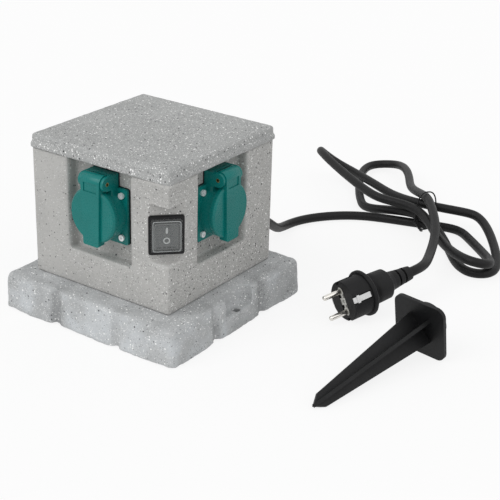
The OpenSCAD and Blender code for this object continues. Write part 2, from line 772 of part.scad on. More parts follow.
// The earth clip, its arms drawn pressed back as they are round a plug
module earth_clip() {
    far = well_d / 2 + clip_slot;
    near = far - clip_t;
    dip = 0.5;
    arm = [[-3, 0], [0.5, dip], [4, 0]];
    color("silver") {
        translate([-clip_w / 2, 0, 0]) rotate([90, 0, 90]) linear_extrude(clip_w) polygon([
            [-floor_out + clip_t, -far], [-floor_out + clip_t, far],
            for (a = arm) [-a[0], far - a[1]],
            for (i = [2:-1:0]) [-arm[i][0], near - arm[i][1]],
            [-floor_out, near], [-floor_out, -near],
            for (a = arm) [-a[0], -near + a[1]],
            for (i = [2:-1:0]) [-arm[i][0], -far + arm[i][1]]
        ]);
    }
}

module flange_screws() {
    head_h = 1.8;
    color("silver") for (sx = [-1, 1], sz = [-1, 1])
        translate([sx * screw_pitch / 2, 0, sz * screw_pitch / 2]) rotate([90, 0, 0]) difference() {
            union() {
                cylinder(d = screw_head_d, h = head_h);
                translate([0, 0, -screw_len]) cylinder(d = screw_d, h = screw_len);
            }
            cross_recess(head_h);
        }
}

module socket_1_gasket() { on_side(0) gasket(); }
module socket_1_housing() { on_side(0) housing(); }
module socket_1_flap() { on_side(0) flap(); }
module socket_1_hinge_pin() { on_side(0) hinge_pin(); }
module socket_1_spring() { on_side(0) spring(); }
module socket_1_contacts() { on_side(0) contacts(); }
module socket_1_earth_clip() { on_side(0) earth_clip(); }
module socket_1_screws() { on_side(0) flange_screws(); }
module socket_2_gasket() { on_side(1) gasket(); }
module socket_2_housing() { on_side(1) housing(); }
module socket_2_flap() { on_side(1) flap(); }
module socket_2_hinge_pin() { on_side(1) hinge_pin(); }
module socket_2_spring() { on_side(1) spring(); }
module socket_2_contacts() { on_side(1) contacts(); }
module socket_2_earth_clip() { on_side(1) earth_clip(); }
module socket_2_screws() { on_side(1) flange_screws(); }
module socket_3_gasket() { on_side(2) gasket(); }
module socket_3_housing() { on_side(2) housing(); }
module socket_3_flap() { on_side(2) flap(); }
module socket_3_hinge_pin() { on_side(2) hinge_pin(); }
module socket_3_spring() { on_side(2) spring(); }
module socket_3_contacts() { on_side(2) contacts(); }
module socket_3_earth_clip() { on_side(2) earth_clip(); }
module socket_3_screws() { on_side(2) flange_screws(); }
module socket_4_gasket() { on_side(3) gasket(); }
module socket_4_housing() { on_side(3) housing(); }
module socket_4_flap() { on_side(3) flap(); }
module socket_4_hinge_pin() { on_side(3) hinge_pin(); }
module socket_4_spring() { on_side(3) spring(); }
module socket_4_contacts() { on_side(3) contacts(); }
module socket_4_earth_clip() { on_side(3) earth_clip(); }
module socket_4_screws() { on_side(3) flange_screws(); }

module switch_frame() {
    color([0.12, 0.12, 0.12]) on_corner() difference() {
        union() {
            plate_out(0, bezel_t - bezel_step) round_rect(bezel_w, bezel_h, 2);
            plate_out(bezel_t - bezel_step, bezel_t) round_rect(bezel_w - 2 * bezel_step, bezel_h - 2 * bezel_step, 1.6);
            plate_out(-switch_box_d, 0) square([switch_box_w, switch_box_h], center = true);
        }
        plate_out(pivot_out - 7, bezel_t + 1) square([rocker_gap_w, rocker_gap_h], center = true);
        bar_across(trunnion_d + 0.1, switch_box_w - 1, pivot_out, 0);
    }
}

module switch_rocker() {
    tip = rocker_h / 2;
    color([0.14, 0.14, 0.14]) on_corner() translate([0, -pivot_out, 0]) rotate([rocker_tilt, 0, 0]) {
        translate([-rocker_w / 2, 0, 0]) rotate([90, 0, 90]) linear_extrude(rocker_w)
            polygon([[-7.2, tip], [-5.9, tip / 2], [-5.4, 0], [-5.9, -tip / 2], [-7.2, -tip], [-2, -tip + 0.3], [3, -6], [3, 6], [-2, tip - 0.3]]);
        bar_across(trunnion_d, switch_box_w - 1.4, 0, 0);
    }
}

// Clear boot: a thin hood with leaning sides
module switch_boot() {
    foot_w = rocker_gap_w + 4.4;
    foot_h = rocker_gap_h + 2.8;
    top_w = foot_w - 3.2;
    top_h = foot_h - 3.2;
    module hood(less, low, high) {
        hull() {
            plate_out(low, low + eps) round_rect(foot_w - 2 * less, foot_h - 2 * less, 2, $fn = 24);
            plate_out(high - eps, high) round_rect(top_w - 2 * less, top_h - 2 * less, 2, $fn = 24);
        }
    }
    color([0.7, 0.72, 0.72, 0.5]) on_corner() difference() {
        union() {
            hood(0, bezel_t, bezel_t + boot_h);
            plate_out(bezel_t, bezel_t + 0.8) round_rect(foot_w + 1.4, foot_h + 1.4, 2);
        }
        hood(boot_wall, bezel_t - 0.1, bezel_t + boot_h - boot_wall);
    }
}

module switch_terminals() {
    color([0.82, 0.72, 0.4]) on_corner() for (sx = [-1, 1], sz = [-1, 1])
        plate_out(-switch_box_d - 8, -switch_box_d) translate([sx * 6, sz * 8]) square([6.3, 0.8], center = true);
}

// Places a piece on the rear wall's cable entry, with +Z out of the wall
module on_entry() {
    translate([entry_x, body_w / 2, entry_z]) rotate([-90, 0, 0]) children();
}

module gland_body() {
    seal_room = 16;
    color([0.13, 0.13, 0.13]) on_entry() difference() {
        union() {
            cylinder(d = gland_af / cos(30), h = gland_hex_h, $fn = 6);
            translate([0, 0, -body_wall - 9]) cylinder(d = gland_d, h = body_wall + 9);
            cylinder(d = gland_d - 1, h = gland_hex_h + 8);
        }
        translate([0, 0, -body_wall - 10]) cylinder(d = gland_bore, h = body_wall + 10 + gland_hex_h + 9);
        translate([0, 0, gland_hex_h + 2]) cylinder(d = seal_room, h = 7);
    }
}

module gland_cap() {
    low = gland_hex_h + 0.3;
    color([0.15, 0.15, 0.15]) on_entry() difference() {
        union() {
            translate([0, 0, low]) cylinder(d = gland_af / cos(30), h = 9, $fn = 6);
            translate([0, 0, low + 9]) cylinder(d1 = gland_af - 2, d2 = 15, h = gland_len - low - 9);
        }
        translate([0, 0, low - 1]) cylinder(d = gland_d - 0.6, h = 9.7);
        translate([0, 0, low]) cylinder(d = gland_bore, h = gland_len);
    }
}

module gland_seal() {
    color([0.08, 0.08, 0.08]) on_entry() difference() {
        translate([0, 0, gland_hex_h + 2]) cylinder(d = 15.6, h = 6.8);
        translate([0, 0, gland_hex_h]) cylinder(d = cord_d + 0.1, h = 10);
    }
}

module gland_locknut() {
    color([0.13, 0.13, 0.13]) on_entry() translate([0, 0, -body_wall - locknut_h]) difference() {
        cylinder(d = (gland_af + 2) / cos(30), h = locknut_h, $fn = 6);
        translate([0, 0, -1]) cylinder(d = gland_d + 0.2, h = locknut_h + 2);
    }
}

module terminal_block() {
    block = [45, 22, 18];
    color([0.85, 0.85, 0.82]) translate([-block.x / 2, -block.y / 2, body_z]) difference() {
        cube(block);
        for (i = [0:2]) translate([block.x / 6 + i * block.x / 3, 0, 0]) {
            translate([0, -1, 7]) rotate([-90, 0, 0]) cylinder(d = 4, h = block.y + 2);
            for (y = [5, block.y - 5]) translate([0, y, 7]) cylinder(d = 5, h = block.z);
        }
    }
}

module cord_lead() { color([0.14, 0.14, 0.14]) tube(lead_line, cord_d, 8, [0, 0, 1]); }
module cord_hank() { color([0.14, 0.14, 0.14]) tube(hank_line, cord_d, 6, [0, 0, 1]); }
module cord_tail() { color([0.14, 0.14, 0.14]) tube(tail_line, cord_d, 8, [0, 0, 1]); }

// The tie's line: one twisted end, once round the bundle, the other end
module cord_tie() {
    along = [tie_across.y, -tie_across.x, 0];
    across = [tie_across.x, tie_across.y, 0];
    middle = [tie_xy.x, tie_xy.y, 0];
    twist_r = tie_wire / 2 + 0.15;
    steps = 8 * twist_turns;
    function place(a, s, z) = middle + along * a + across * s + [0, 0, z];
    function strand(phase, i) = let (w = 360 * twist_turns * i / steps + phase)
        place(2 + twist_len * i / steps, twist_start[0] + twist_r * cos(w), twist_start[1] - 0.25 * twist_len * i / steps + twist_r * sin(w));
    function hoop(w) = place(w > 0 ? 0.9 : -0.9, tie_half_w * bow(cos(w + 180)), tie_mid_z + tie_half_h * bow(sin(w + 180)));
    line = concat(
        [for (i = [steps:-1:0]) strand(0, i)],
        [for (w = [20:20:340]) hoop(w)],
        [for (i = [0:steps]) strand(180, i)]
    );
    color([0.1, 0.1, 0.1]) tube(line, tie_wire, 6, along);
}

// Places a piece of the plug: face at the origin, +Z towards the cord, pins along X
module on_plug() {
    translate(cord_end) rotate([0, 90 - plug_pitch, plug_yaw]) rotate([0, 0, plug_roll]) translate([0, 0, -plug_len]) children();
}

module plug_body() {
    r = plug_d / 2;
    g = guard_d / 2;
    ribs = [[54, 59.5, 8.9], [61.5, 66.5, 8]];
    color([0.13, 0.13, 0.13]) on_plug() difference() {
        rotate_extrude() polygon([
            [0, 0], [r - 0.8, 0], [r, 0.8], [r, 20.5], [g - 1, 20.5], [g, 21.5], [g, 23.5], [g - 1.5, 25],
            [14, 25.4], [12.5, 28], [13, 30.5], [14.5, 33], [14.3, 40], [14, 47], [10, 51], [9, 53.9],
            for (rib = ribs) each [[rib[2], rib[0]], [rib[2] - 0.6, rib[1]], [5.6, rib[1]], [5.6, rib[1] + 2]],
            [7.4, 68.5], [6.5, plug_len], [0, plug_len]
        ]);
        // Recess for the light insert, and holes for the pins
        translate([0, 0, -1]) linear_extrude(4) insert_outline();
        for (s = [-1, 1]) translate([s * pin_pitch / 2, 0, -1]) cylinder(d = plug_pin_d + 0.1, h = 9);
        // Grooves for the keys of a socket, and flats for the earth strips
        for (s = [-1, 1]) {
            translate([s * (r - 1.5), 0, 8]) cube([3.01, 5, 18], center = true);
            translate([0, s * r, 9]) cube([7, 3, 20], center = true);
        }
    }
}

// Outline of the recess between and round the pins
module insert_outline() {
    square([pin_pitch, 8.5], center = true);
    for (s = [-1, 1]) translate([s * pin_pitch / 2, 0]) circle(d = 8);
}

module plug_insert() {
    color([0.75, 0.75, 0.72]) on_plug() difference() {
        translate([0, 0, 0.4]) linear_extrude(2.6) {
            square([6.4, 8.3], center = true);
            square([pin_pitch, 2.2], center = true);
            for (s = [-1, 1]) translate([s * pin_pitch / 2, 0]) circle(d = 7.8);
        }
        for (s = [-1, 1]) translate([s * pin_pitch / 2, 0, -1]) cylinder(d = plug_pin_d + 0.1, h = 6);
        translate([0, 0, -1]) cylinder(d = 3.4, h = 3);
    }
}

module plug_pins() {
    color("silver") on_plug() for (s = [-1, 1]) translate([s * pin_pitch / 2, 0, 0]) {
        translate([0, 0, plug_pin_d / 2 - plug_pin_len]) {
            cylinder(d = plug_pin_d, h = plug_pin_len - plug_pin_d / 2 + 8);
            sphere(d = plug_pin_d);
        }
    }
}

module plug_earth_strips() {
    r = plug_d / 2;
    color([0.7, 0.68, 0.6]) on_plug() for (s = [-1, 1]) {
        translate([0, s * (r - 1), 9.5]) cube([5, 1, 19], center = true);
        translate([0, s * (r - 0.4), 5]) cube([7, 0.6, 3], center = true);
    }
}

// The blade's tip points along -Z, the boss stands up behind the plate
module ground_spike() {
    module wing() {
        rotate([90, 0, 0]) linear_extrude(spike_web_t, center = true) polygon([
            [-spike_w / 2, 0], [-spike_tip_w / 2, spike_tip_len - spike_len], [0, -spike_len],
            [spike_tip_w / 2, spike_tip_len - spike_len], [spike_w / 2, 0]
        ]);
    }
    color([0.1, 0.1, 0.1])
        translate([spike_xy.x, spike_xy.y, spike_plate_w / 2 * cos(spike_tilt)])
            rotate([0, 90 - spike_tilt, spike_yaw]) {
                linear_extrude(spike_plate_t) round_rect(spike_plate_w, spike_plate_w, spike_plate_r);
                difference() {
                    cylinder(d = spike_boss_d, h = spike_plate_t + spike_boss_len);
                    translate([0, 0, spike_plate_t]) cylinder(d = spike_boss_d - 6, h = spike_boss_len + 1);
                }
                for (turn = [45, 135]) rotate([0, 0, turn]) wing();
            }
}

base_slab();
base_plate();
plate_screws();
body_shell();
roof_cap();
tie_screws();
socket_1_gasket();
socket_1_housing();
socket_1_flap();
socket_1_hinge_pin();
socket_1_spring();
socket_1_contacts();
socket_1_earth_clip();
socket_1_screws();
socket_2_gasket();
socket_2_housing();
socket_2_flap();
socket_2_hinge_pin();
socket_2_spring();
socket_2_contacts();
socket_2_earth_clip();
socket_2_screws();
socket_3_gasket();
socket_3_housing();
socket_3_flap();
socket_3_hinge_pin();
socket_3_spring();
socket_3_contacts();
socket_3_earth_clip();
socket_3_screws();
socket_4_gasket();
socket_4_housing();
socket_4_flap();
socket_4_hinge_pin();
socket_4_spring();
socket_4_contacts();
socket_4_earth_clip();
socket_4_screws();
switch_frame();
switch_rocker();
switch_boot();
switch_terminals();
gland_body();
gland_cap();
gland_seal();
gland_locknut();
terminal_block();
cord_lead();
cord_hank();
cord_tail();
cord_tie();
plug_body();
plug_insert();
plug_pins();
plug_earth_strips();
ground_spike();
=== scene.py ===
# Looks of the garden socket block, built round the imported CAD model. Metres.
import json
import math

import bmesh
import bpy
from mathutils import Matrix, Vector, noise


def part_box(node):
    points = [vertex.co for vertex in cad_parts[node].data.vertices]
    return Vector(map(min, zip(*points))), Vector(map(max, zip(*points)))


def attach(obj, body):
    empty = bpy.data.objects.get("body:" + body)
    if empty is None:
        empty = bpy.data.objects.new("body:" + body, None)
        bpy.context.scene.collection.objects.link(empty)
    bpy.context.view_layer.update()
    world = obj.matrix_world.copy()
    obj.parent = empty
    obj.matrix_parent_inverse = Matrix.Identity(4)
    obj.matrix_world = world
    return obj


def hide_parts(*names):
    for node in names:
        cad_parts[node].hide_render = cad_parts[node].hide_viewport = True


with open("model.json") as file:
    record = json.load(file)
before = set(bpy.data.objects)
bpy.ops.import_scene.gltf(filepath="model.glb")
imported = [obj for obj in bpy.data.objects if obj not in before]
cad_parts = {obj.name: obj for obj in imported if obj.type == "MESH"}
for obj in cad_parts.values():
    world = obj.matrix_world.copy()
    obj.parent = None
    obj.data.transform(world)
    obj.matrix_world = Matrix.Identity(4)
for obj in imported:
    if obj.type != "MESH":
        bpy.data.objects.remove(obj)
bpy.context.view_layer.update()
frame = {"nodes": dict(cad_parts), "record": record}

cad = frame["nodes"]
scene = bpy.context.scene
SOCKETS = (1, 2, 3, 4)

# Main places, from the frame
SLAB_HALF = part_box("base_slab")[1].x
BODY_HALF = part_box("body_shell")[1].x
BODY_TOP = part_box("body_shell")[1].z


# Camera at the photograph's viewpoint: its heading, height and lean are in radians
CAMERA_AZIMUTH = 0.6007
CAMERA_ELEVATION = 0.4214
CAMERA_ROLL = 0.0298
CAMERA_AT = (0.6623957, -0.8148852, 0.5206168)
CAMERA_LENS = 91.33
SENSOR_WIDTH = 36
CLIP_NEAR = 0.01
CLIP_FAR = 50


def make_camera():
    flat = math.cos(CAMERA_ELEVATION)
    ahead = -math.cos(CAMERA_AZIMUTH) * flat
    back = Vector((math.sin(CAMERA_AZIMUTH) * flat, ahead, math.sin(CAMERA_ELEVATION)))
    side = Vector((0, 0, 1)).cross(back).normalized()
    up = back.cross(side)
    right = math.cos(CAMERA_ROLL) * side + math.sin(CAMERA_ROLL) * up
    top = -math.sin(CAMERA_ROLL) * side + math.cos(CAMERA_ROLL) * up
    data = bpy.data.cameras.new("camera")
    data.sensor_width = SENSOR_WIDTH
    data.lens = CAMERA_LENS
    data.clip_start = CLIP_NEAR
    data.clip_end = CLIP_FAR
    camera = bpy.data.objects.new("camera", data)
    scene.collection.objects.link(camera)
    place = Matrix((right, top, back)).transposed().to_4x4()
    place.translation = CAMERA_AT
    camera.matrix_world = place
    scene.camera = camera


make_camera()


# Mesh helpers
def add_object(name, mesh):
    piece = bpy.data.objects.new(name, mesh)
    scene.collection.objects.link(piece)
    return piece


def mesh_from(name, points, faces):
    mesh = bpy.data.meshes.new(name)
    mesh.from_pydata([tuple(p) for p in points], [], faces)
    mesh.update()
    return mesh


def shade_smooth(mesh, angle=None):
    """Smooth shading, with sharp edges past this angle if one is given."""
    for face in mesh.polygons:
        face.use_smooth = True
    if angle is not None:
        mesh.set_sharp_from_angle(angle=math.radians(angle))


def signed_power(value, power):
    """A power of the value's size, with the value's sign."""
    return math.copysign(abs(value) ** power, value)


def fade(value, low, high):
    """Nought up to low, one from high on, and a straight rise between."""
    return min(1.0, max(0.0, (value - low) / (high - low)))


def tube(name, line, radius, sides, up):
    """One unbroken tube along a line, its rings carried on from point to point."""
    count = len(line)
    across = None
    points = []
    for i, p in enumerate(line):
        along = (line[min(i + 1, count - 1)] - line[max(i - 1, 0)]).normalized()
        start = up if across is None else across
        across = (start - along * start.dot(along)).normalized()
        other = along.cross(across)
        for k in range(sides):
            turn = 2 * math.pi * k / sides
            points.append(p + radius * (math.cos(turn) * across + math.sin(turn) * other))
    faces = []
    for i in range(count - 1):
        for k in range(sides):
            a = i * sides + k
            b = i * sides + (k + 1) % sides
            faces.append((a, b, b + sides, a + sides))
    faces.append(tuple(reversed(range(sides))))
    faces.append(tuple((count - 1) * sides + k for k in range(sides)))
    mesh = mesh_from(name, points, faces)
    shade_smooth(mesh, 60)
    return add_object(name, mesh)


# Cord route, the same as in the CAD source
CORD_D = 0.0092
# The drawn cord starts past this place, in the gland's bore just outside the wall
CORD_START_Y = 0.076
CORD_STEPS = 8
LEAD = [
    (0.030, 0.046, 0.050), (0.030, 0.062, 0.050), (0.030, 0.082, 0.050), (0.030, 0.100, 0.050),
    (0.030, 0.111, 0.0495), (0.0295, 0.126, 0.0455), (0.0265, 0.143, 0.036), (0.021, 0.160, 0.025),
    (0.0145, 0.178, 0.0145), (0.0085, 0.196, 0.008), (0.0055, 0.213, 0.005), (0.009, 0.233, 0.0046),
    (0.024, 0.258, 0.0046), (0.050, 0.282, 0.0046), (0.084, 0.2935, 0.0046),
]
TAIL = [
    (0.133, 0.282, 0.037), (0.148, 0.262, 0.035), (0.161, 0.240, 0.0315), (0.170, 0.220, 0.0285),
    (0.1765, 0.202, 0.027), (0.1825, 0.185, 0.0272), (0.1876, 0.1705, 0.0286), (0.190, 0.1585, 0.0298),
    (0.1892, 0.1483, 0.0298), (0.186, 0.140, 0.0286), (0.1828, 0.1317, 0.0274),
]
LOBE_POINTS = 12
OVAL_POWER = 2.6
# Middle, half length, half width, heading, angles in and out, heights at root, fold and root, tilt
LOBES = [
    ((0.170, 0.269), 0.075, 0.021, -45, 122, -92, 0.0048, 0.021, 0.019, -0.006),
    ((0.023, 0.330), 0.082, 0.018, 152, 136, -115, 0.026, 0.028, 0.017, 0.0145),
    ((0.184, 0.277), 0.061, 0.023, -55, 169, -97, 0.019, 0.0046, 0.0046, 0),
    ((0.035, 0.362), 0.077, 0.028, 121, 138, -112, 0.0046, 0.0075, 0.021, 0),
]
TIE_XY = (0.119, 0.300)
TIE_ACROSS = (0.559, 0.829)
# Places of the strands in the tie: distance across the bundle, and height
TIE_SLOTS = [(0, 0.006), (-0.005, 0.026), (0.005, 0.026), (-0.001, 0.0228), (0, 0.039)]


def bow(value):
    return signed_power(value, 2 / OVAL_POWER)


def lobe_points(middle, half_long, half_wide, heading, turn_in, turn_out, first, fold, last, tilt):
    points = []
    cos_h = math.cos(math.radians(heading))
    sin_h = math.sin(math.radians(heading))
    for i in range(LOBE_POINTS):
        t = i / (LOBE_POINTS - 1)
        turn = math.radians(turn_in + (turn_out - turn_in) * t)
        x = half_long * bow(math.cos(turn))
        y = half_wide * bow(math.sin(turn))
        f = (1 - math.cos(2 * math.pi * t)) / 2
        root = first if t < 0.5 else last
        z = root * (1 - f) + fold * f + tilt * f * y / half_wide
        points.append((middle[0] + x * cos_h - y * sin_h, middle[1] + x * sin_h + y * cos_h, z))
    return points


def tie_point(across, height):
    return (TIE_XY[0] + TIE_ACROSS[0] * across, TIE_XY[1] + TIE_ACROSS[1] * across, height)


def spline(route, first, last, steps):
    """Uniform cubic curve near the route's points."""
    q = [Vector(p) for p in route]
    line = []
    for i in range(first, last):
        for j in range(steps):
            t = j / steps
            line.append(((1 - t) ** 3 * q[i - 1] + (3 * t ** 3 - 6 * t * t + 4) * q[i]
                         + (-3 * t ** 3 + 3 * t * t + 3 * t + 1) * q[i + 1] + t ** 3 * q[i + 2]) / 6)
    line.append((q[last - 1] + 4 * q[last] + q[last + 1]) / 6)
    return line


def cord_line():
    route = list(LEAD)
    for slot, lobe in zip(TIE_SLOTS, LOBES):
        route.append(tie_point(*slot))
        route += lobe_points(*lobe)
    route.append(tie_point(*TIE_SLOTS[-1]))
    route += TAIL
    line = spline(route, 1, len(route) - 2, CORD_STEPS)
    while line[0].y < CORD_START_Y:
        line.pop(0)
    return line


# The wire tie, in the sizes of the CAD source
WIRE_R = 0.00075
TIE_HALF_W = 0.0112
TIE_HALF_H = 0.021
TIE_MIDDLE_Z = 0.0219
# How far along the bundle the hoop stands from the tie's middle
HOOP_SHIFT = 0.0009
TWIST_TURNS = 2.5
TWIST_LENGTH = 0.015
TWIST_START = 0.002
# The twist's place beside the bundle, its height, and how much it falls for its length
TWIST_SIDE = -0.0126
TWIST_Z = 0.011
TWIST_FALL = 0.25
TWIST_R = WIRE_R + 0.00015
TWIST_STEPS = 30


def tie_line():
    """One twisted end, once round the bundle, and the other end."""
    along = Vector((TIE_ACROSS[1], -TIE_ACROSS[0], 0))
    across = Vector((TIE_ACROSS[0], TIE_ACROSS[1], 0))
    middle = Vector((TIE_XY[0], TIE_XY[1], 0))

    def place(a, s, z):
        return middle + along * a + across * s + Vector((0, 0, z))

    def strand(phase, i):
        turn = math.radians(360 * TWIST_TURNS * i / TWIST_STEPS + phase)
        out = TWIST_START + TWIST_LENGTH * i / TWIST_STEPS
        low = TWIST_Z - TWIST_FALL * TWIST_LENGTH * i / TWIST_STEPS
        return place(out, TWIST_SIDE + TWIST_R * math.cos(turn), low + TWIST_R * math.sin(turn))

    def hoop(degrees):
        turn = math.radians(degrees + 180)
        rise = TIE_HALF_H * bow(math.sin(turn))
        return place(HOOP_SHIFT, TIE_HALF_W * bow(math.cos(turn)), TIE_MIDDLE_Z + rise)

    line = [strand(0, i) for i in range(TWIST_STEPS, -1, -1)]
    line += [hoop(w) for w in range(10, 351, 10)]
    line += [strand(180, i) for i in range(TWIST_STEPS + 1)]
    return line


# Materials: small helpers for their nodes
def new_material(name):
    mat = bpy.data.materials.new(name)
    mat.use_nodes = True
    tree = mat.node_tree
    tree.nodes.clear()
    out = tree.nodes.new("ShaderNodeOutputMaterial")
    bsdf = tree.nodes.new("ShaderNodeBsdfPrincipled")
    tree.links.new(bsdf.outputs["BSDF"], out.inputs["Surface"])
    return mat, tree, bsdf


def object_coords(tree):
    return tree.nodes.new("ShaderNodeTexCoord").outputs["Object"]


def noise_node(tree, where, scale, detail=2.0, rough=0.5):
    made = tree.nodes.new("ShaderNodeTexNoise")
    made.inputs["Scale"].default_value = scale
    made.inputs["Detail"].default_value = detail
    made.inputs["Roughness"].default_value = rough
    tree.links.new(where, made.inputs["Vector"])
    return made.outputs["Fac"]


def remap(tree, value, low, high, to_low, to_high):
    made = tree.nodes.new("ShaderNodeMapRange")
    for key, number in (("From Min", low), ("From Max", high), ("To Min", to_low), ("To Max", to_high)):
        made.inputs[key].default_value = number
    tree.links.new(value, made.inputs["Value"])
    return made.outputs["Result"]


def calculate(tree, how, first, second):
    made = tree.nodes.new("ShaderNodeMath")
    made.operation = how
    for socket, value in zip(made.inputs, (first, second)):
        if isinstance(value, (int, float)):
            socket.default_value = value
        else:
            tree.links.new(value, socket)
    return made.outputs["Value"]


def times(tree, first, second):
    return calculate(tree, "MULTIPLY", first, second)


def mix_color(tree, factor, first, second):
    made = tree.nodes.new("ShaderNodeMix")
    made.data_type = "RGBA"
    tree.links.new(factor, made.inputs[0])
    for socket, value in ((made.inputs[6], first), (made.inputs[7], second)):
        if isinstance(value, tuple):
            socket.default_value = (*value, 1)
        else:
            tree.links.new(value, socket)
    return made.outputs[2]


def bump(tree, bsdf, height, distance, strength=1.0):
    made = tree.nodes.new("ShaderNodeBump")
    made.inputs["Distance"].default_value = distance
    made.inputs["Strength"].default_value = strength
    tree.links.new(height, made.inputs["Height"])
    tree.links.new(made.outputs["Normal"], bsdf.inputs["Normal"])


def specks(tree, where, scale, share, size):
    """Mask of round specks: this share of the cells holds one, its radius up to this part of a cell."""
    smallest = 0.55
    soft_edge = 0.12
    cells = tree.nodes.new("ShaderNodeTexVoronoi")
    cells.inputs["Scale"].default_value = scale
    tree.links.new(where, cells.inputs["Vector"])
    parts = tree.nodes.new("ShaderNodeSeparateColor")
    tree.links.new(cells.outputs["Color"], parts.inputs["Color"])
    chosen = calculate(tree, "GREATER_THAN", parts.outputs["Red"], 1 - share)
    radius = remap(tree, parts.outputs["Green"], 0, 1, size * smallest, size)
    edge = calculate(tree, "SUBTRACT", radius, cells.outputs["Distance"])
    near = remap(tree, edge, 0, soft_edge, 0, 1)
    return times(tree, chosen, near)


def scaled(color, factor):
    return tuple(c * factor for c in color)


# Stone: colours of its grains and of the slab's pale patches
WHITE_GRAIN = (0.95, 0.95, 0.94)
PALE_GRAIN = (0.86, 0.86, 0.85)
BLACK_GRAIN = (0.03, 0.03, 0.033)
PALE_STONE = (0.6, 0.63, 0.655)
# All but the big dark grains show fully from the second of these on, and less towards the first
GRAIN_LEFT_X = -0.07
GRAIN_RIGHT_X = 0.075


def stone(name, color, cloud, light, dark, with_tone_and_shade=False, few_left=0.95):
    """Moulded stone look: clouds, a fine sanded grain, white and dark grains, and worn edges."""
    mat, tree, bsdf = new_material(name)
    where = object_coords(tree)
    axes = tree.nodes.new("ShaderNodeSeparateXYZ")
    tree.links.new(where, axes.inputs["Vector"])
    seen = remap(tree, axes.outputs["X"], GRAIN_LEFT_X, GRAIN_RIGHT_X, few_left, 1)
    clouds = remap(tree, noise_node(tree, where, 26, detail=4.0, rough=0.6), 0.34, 0.66, 0, 1)
    shade = mix_color(tree, clouds, scaled(color, 1 - cloud), scaled(color, 1 + cloud))
    if with_tone_and_shade:
        # Pale middles and dark joints of the slab's stones, and painted shade in its peg holes
        tone_and_shade = tree.nodes.new("ShaderNodeAttribute")
        tone_and_shade.attribute_name = "tone_and_shade"
        pale = remap(tree, tone_and_shade.outputs["Fac"], 0.5, 1, 0, 0.72)
        shade = mix_color(tree, pale, shade, PALE_STONE)
        deep = remap(tree, tone_and_shade.outputs["Fac"], 0.5, 0, 0, 0.9)
        shade = mix_color(tree, deep, shade, scaled(color, 0.5))
    grain = noise_node(tree, where, 520, detail=3.0, rough=0.7)
    grains = remap(tree, grain, 0.3, 0.7, 0, 0.3)
    shade = mix_color(tree, grains, shade, scaled(color, 1.25))
    small_dark = times(tree, specks(tree, where, scale=640, share=dark * 2.2, size=0.44), seen)
    shade = mix_color(tree, times(tree, small_dark, 0.62), shade, scaled(color, 0.36))
    small_light = times(tree, specks(tree, where, scale=760, share=light * 1.6, size=0.42), seen)
    shade = mix_color(tree, times(tree, small_light, 0.75), shade, PALE_GRAIN)
    big_dark = specks(tree, where, scale=330, share=dark * 0.75, size=0.36)
    shade = mix_color(tree, times(tree, big_dark, 0.9), shade, BLACK_GRAIN)
    big_light = times(tree, specks(tree, where, scale=410, share=light * 0.6, size=0.38), seen)
    shade = mix_color(tree, big_light, shade, WHITE_GRAIN)
    geometry = tree.nodes.new("ShaderNodeNewGeometry")
    worn = remap(tree, geometry.outputs["Pointiness"], 0.51, 0.58, 0, 0.35)
    shade = mix_color(tree, worn, shade, scaled(color, 1.35))
    tree.links.new(shade, bsdf.inputs["Base Color"])
    tree.links.new(remap(tree, grain, 0.3, 0.7, 0.72, 0.92), bsdf.inputs["Roughness"])
    bsdf.inputs["Specular IOR Level"].default_value = 0.35
    # Dark grains are small pits, and white ones stand out a little
    height = calculate(tree, "ADD", grain, times(tree, big_dark, -0.7))
    height = calculate(tree, "ADD", height, times(tree, big_light, 0.3))
    bump(tree, bsdf, height, distance=0.00035, strength=0.8)
    return mat


def moulded(name, color, rough, spec=0.5, vary=0.08, grain=700, depth=0.00003, metallic=0.0):
    """Plastic, rubber or metal with small changes of colour and gloss and a fine grain."""
    mat, tree, bsdf = new_material(name)
    where = object_coords(tree)
    patches = remap(tree, noise_node(tree, where, 60, detail=3.0, rough=0.6), 0.35, 0.65, 0, 1)
    shade = mix_color(tree, patches, scaled(color, 1 - vary), scaled(color, 1 + vary))
    tree.links.new(shade, bsdf.inputs["Base Color"])
    fine = noise_node(tree, where, grain, detail=3.0, rough=0.6)
    tree.links.new(remap(tree, fine, 0.3, 0.7, rough - 0.05, rough + 0.06), bsdf.inputs["Roughness"])
    bsdf.inputs["Specular IOR Level"].default_value = spec
    bsdf.inputs["Metallic"].default_value = metallic
    bump(tree, bsdf, fine, depth)
    return mat


def clear_plastic(name):
    mat, tree, bsdf = new_material(name)
    haze = noise_node(tree, object_coords(tree), 90, detail=3.0, rough=0.6)
    shade = mix_color(tree, haze, (0.24, 0.25, 0.25), (0.36, 0.375, 0.37))
    tree.links.new(shade, bsdf.inputs["Base Color"])
    bsdf.inputs["Alpha"].default_value = 0.2
    bsdf.inputs["Roughness"].default_value = 0.14
    return mat


slab_stone = stone("slab_stone", (0.42, 0.43, 0.435), cloud=0.16, light=0.34, dark=0.13, with_tone_and_shade=True)
wall_stone = stone("wall_stone", (0.425, 0.422, 0.41), cloud=0.06, light=0.3, dark=0.27, few_left=0.45)
roof_stone = stone("roof_stone", (0.36, 0.366, 0.363), cloud=0.06, light=0.5, dark=0.24)
green = moulded("green_plastic", (0.002, 0.168, 0.154), 0.28,
                spec=0.27, vary=0.05, grain=900, depth=0.00001)
black = moulded("black_plastic", (0.0065, 0.0065, 0.0073), 0.42, spec=0.3, vary=0.2)
rocker_grey = moulded("rocker_plastic", (0.11, 0.116, 0.117), 0.4, spec=0.4, vary=0.05)
spike_black = moulded("spike_plastic", (0.0055, 0.0057, 0.0062), 0.48,
                      spec=0.27, vary=0.25, grain=500, depth=0.00006)
rubber = moulded("black_rubber", (0.007, 0.007, 0.0075), 0.6,
                 spec=0.25, vary=0.2, grain=800, depth=0.00005)
